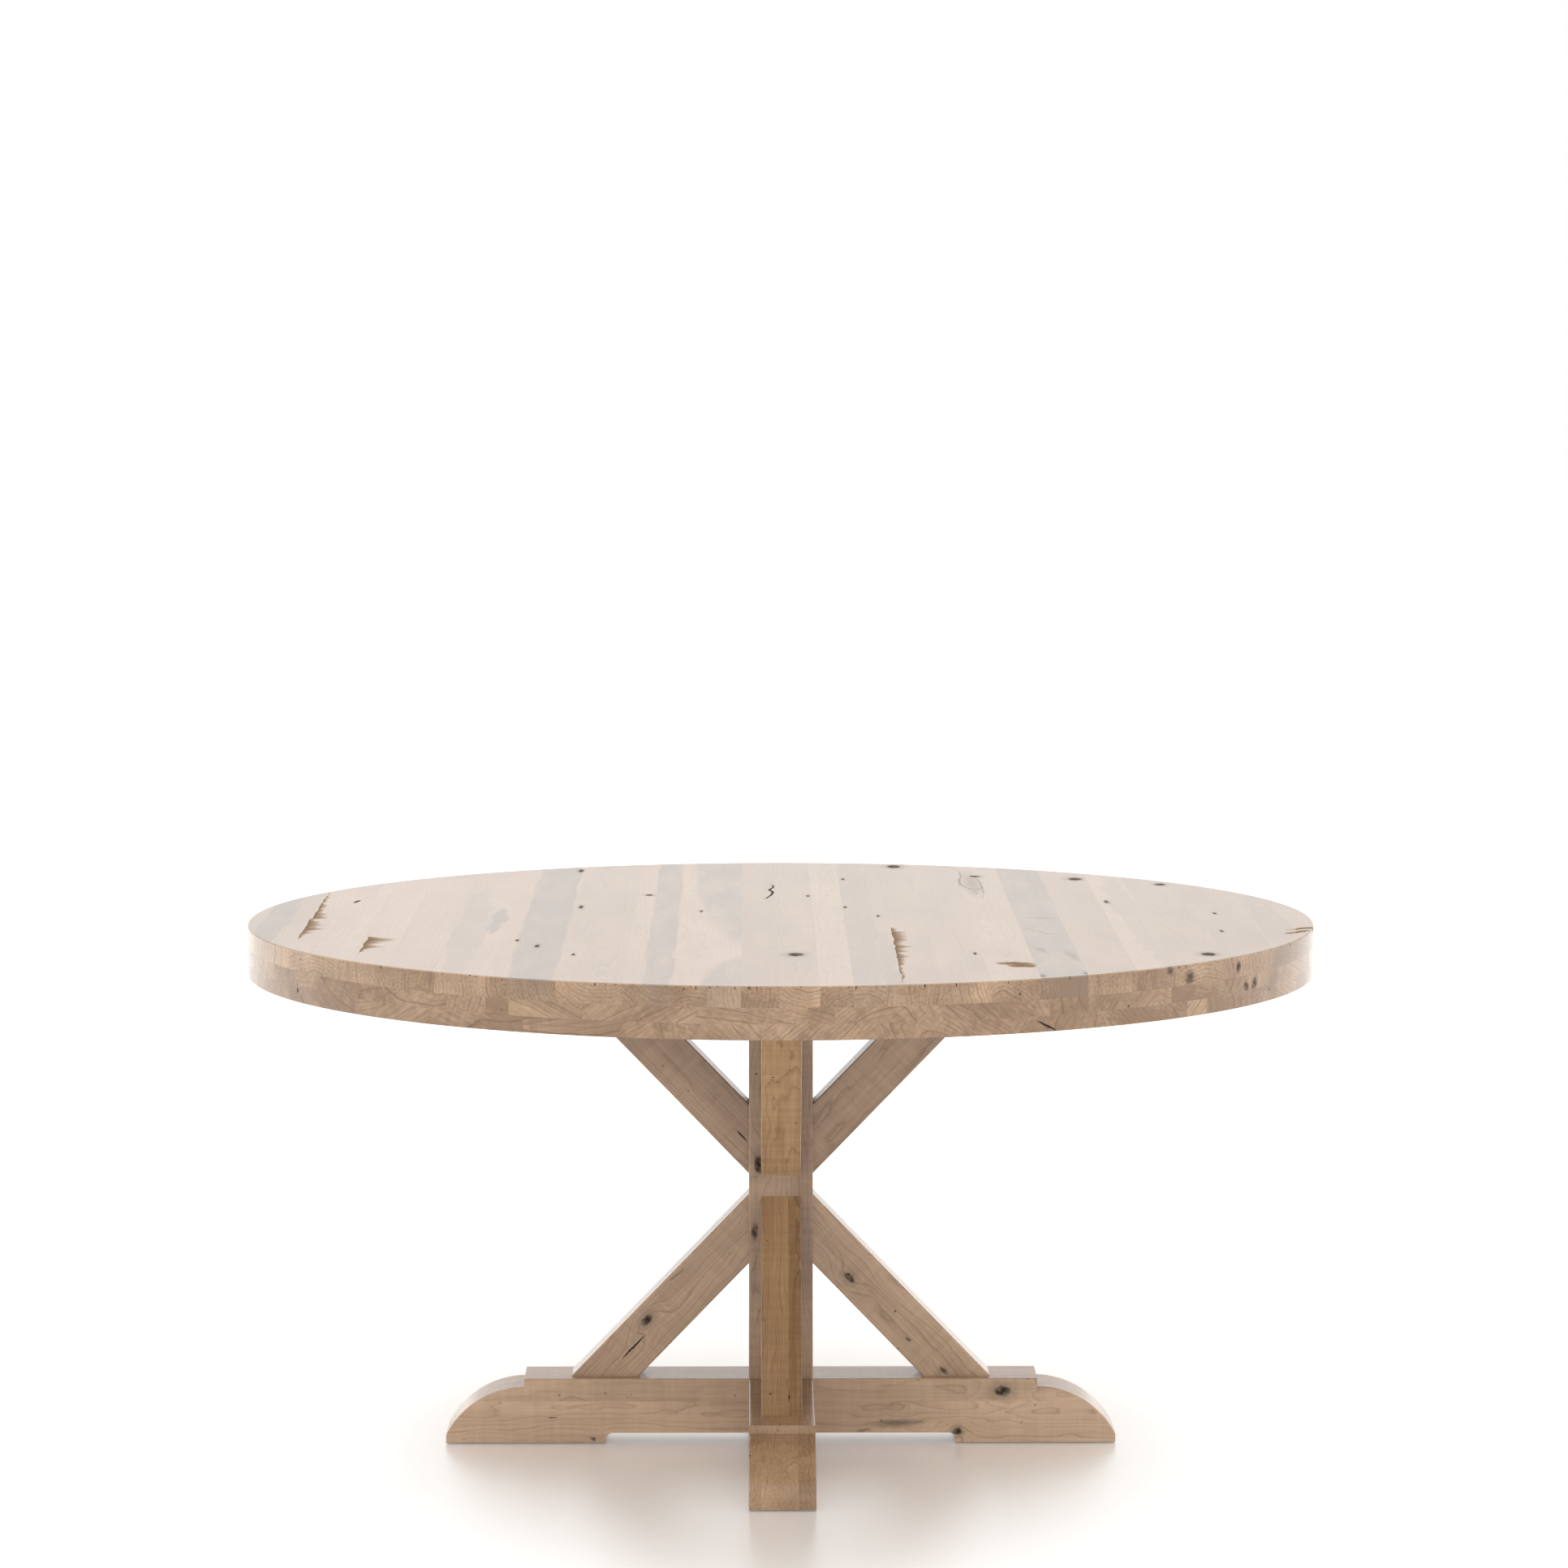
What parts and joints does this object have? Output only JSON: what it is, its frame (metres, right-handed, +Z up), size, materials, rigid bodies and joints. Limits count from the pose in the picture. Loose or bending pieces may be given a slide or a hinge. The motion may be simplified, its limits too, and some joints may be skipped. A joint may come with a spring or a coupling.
{
  "type": "round pedestal dining table",
  "caption": "Round solid-wood dining table with a thick layered rim, a square post with diagonal braces and a cross base with rounded feet on screw levelers.",
  "frame": {"origin": "on the floor, under the centre of the post", "axes": "+Z up; +X along one foot, to the right in the picture; +Y along the other foot and the boards of the top, away from the camera"},
  "size_m": [1.524, 1.524, 0.756],
  "materials": {
    "top_wood": "satin clear lacquer",
    "rim_wood": "satin clear lacquer",
    "base_wood": "satin clear lacquer",
    "joinery_wood": "bare wood",
    "zinc_steel": "zinc plated",
    "insert_brass": "turned brass",
    "pad_nylon": "moulded nylon"
  },
  "bodies": {
    "table": {"top_board_01": "top_wood", "top_board_02": "top_wood", "top_board_03": "top_wood", "top_board_04": "top_wood", "top_board_05": "top_wood", "top_board_06": "top_wood", "top_board_07": "top_wood", "top_board_08": "top_wood", "top_board_09": "top_wood", "top_board_10": "top_wood", "top_board_11": "top_wood", "top_board_12": "top_wood", "top_board_13": "top_wood", "top_board_14": "top_wood", "top_board_15": "top_wood", "top_board_16": "top_wood", "top_board_17": "top_wood", "top_board_18": "top_wood", "top_board_19": "top_wood", "top_board_20": "top_wood", "top_board_21": "top_wood", "top_board_22": "top_wood", "top_board_23": "top_wood", "rim_upper_segments": "rim_wood", "rim_lower_segments": "rim_wood", "side_to_side_rail": "base_wood", "front_to_back_rail": "base_wood", "post": "base_wood", "lower_brace_right": "base_wood", "lower_brace_back": "base_wood", "lower_brace_left": "base_wood", "lower_brace_front": "base_wood", "upper_brace_right": "base_wood", "upper_brace_back": "base_wood", "upper_brace_left": "base_wood", "upper_brace_front": "base_wood", "side_to_side_foot": "base_wood", "front_to_back_foot": "base_wood", "top_board_splines": "joinery_wood", "lower_brace_dowels": "joinery_wood", "upper_brace_dowels": "joinery_wood", "lower_brace_lag_screws": "zinc_steel", "upper_brace_lag_screws": "zinc_steel", "post_bolts": "zinc_steel", "top_screws": "zinc_steel", "top_screw_washers": "zinc_steel", "leveler_inserts": "insert_brass"},
    "pad_right": {"leveler_pad_right": "pad_nylon"},
    "stem_right": {"leveler_stem_right": "zinc_steel"},
    "pad_back": {"leveler_pad_back": "pad_nylon"},
    "stem_back": {"leveler_stem_back": "zinc_steel"},
    "pad_left": {"leveler_pad_left": "pad_nylon"},
    "stem_left": {"leveler_stem_left": "zinc_steel"},
    "pad_front": {"leveler_pad_front": "pad_nylon"},
    "stem_front": {"leveler_stem_front": "zinc_steel"}
  },
  "joints": [
    {"name": "leveler_right_travel", "type": "slide", "parent": "table", "child": "pad_right", "axis": [0, 0, -1], "range_m": [0, 0.01]},
    {"name": "leveler_right_turn", "type": "hinge", "parent": "pad_right", "child": "stem_right", "pos_m": [0.432, 0, 0], "axis": [0, 0, -1], "range_deg": [0, 2880.1]},
    {"name": "leveler_back_travel", "type": "slide", "parent": "table", "child": "pad_back", "axis": [0, 0, -1], "range_m": [0, 0.01]},
    {"name": "leveler_back_turn", "type": "hinge", "parent": "pad_back", "child": "stem_back", "pos_m": [0, 0.432, 0], "axis": [0, 0, -1], "range_deg": [0, 2880.1]},
    {"name": "leveler_left_travel", "type": "slide", "parent": "table", "child": "pad_left", "axis": [0, 0, -1], "range_m": [0, 0.01]},
    {"name": "leveler_left_turn", "type": "hinge", "parent": "pad_left", "child": "stem_left", "pos_m": [-0.432, 0, 0], "axis": [0, 0, -1], "range_deg": [0, 2880.1]},
    {"name": "leveler_front_travel", "type": "slide", "parent": "table", "child": "pad_front", "axis": [0, 0, -1], "range_m": [0, 0.01]},
    {"name": "leveler_front_turn", "type": "hinge", "parent": "pad_front", "child": "stem_front", "pos_m": [0, -0.432, 0], "axis": [0, 0, -1], "range_deg": [0, 2880.1]}
  ],
  "couplings": [
    {"joint": "leveler_right_turn", "follows": "leveler_right_travel", "rad_per_m": 5026.5},
    {"joint": "leveler_back_turn", "follows": "leveler_back_travel", "rad_per_m": 5026.5},
    {"joint": "leveler_left_turn", "follows": "leveler_left_travel", "rad_per_m": 5026.5},
    {"joint": "leveler_front_turn", "follows": "leveler_front_travel", "rad_per_m": 5026.5}
  ]
}
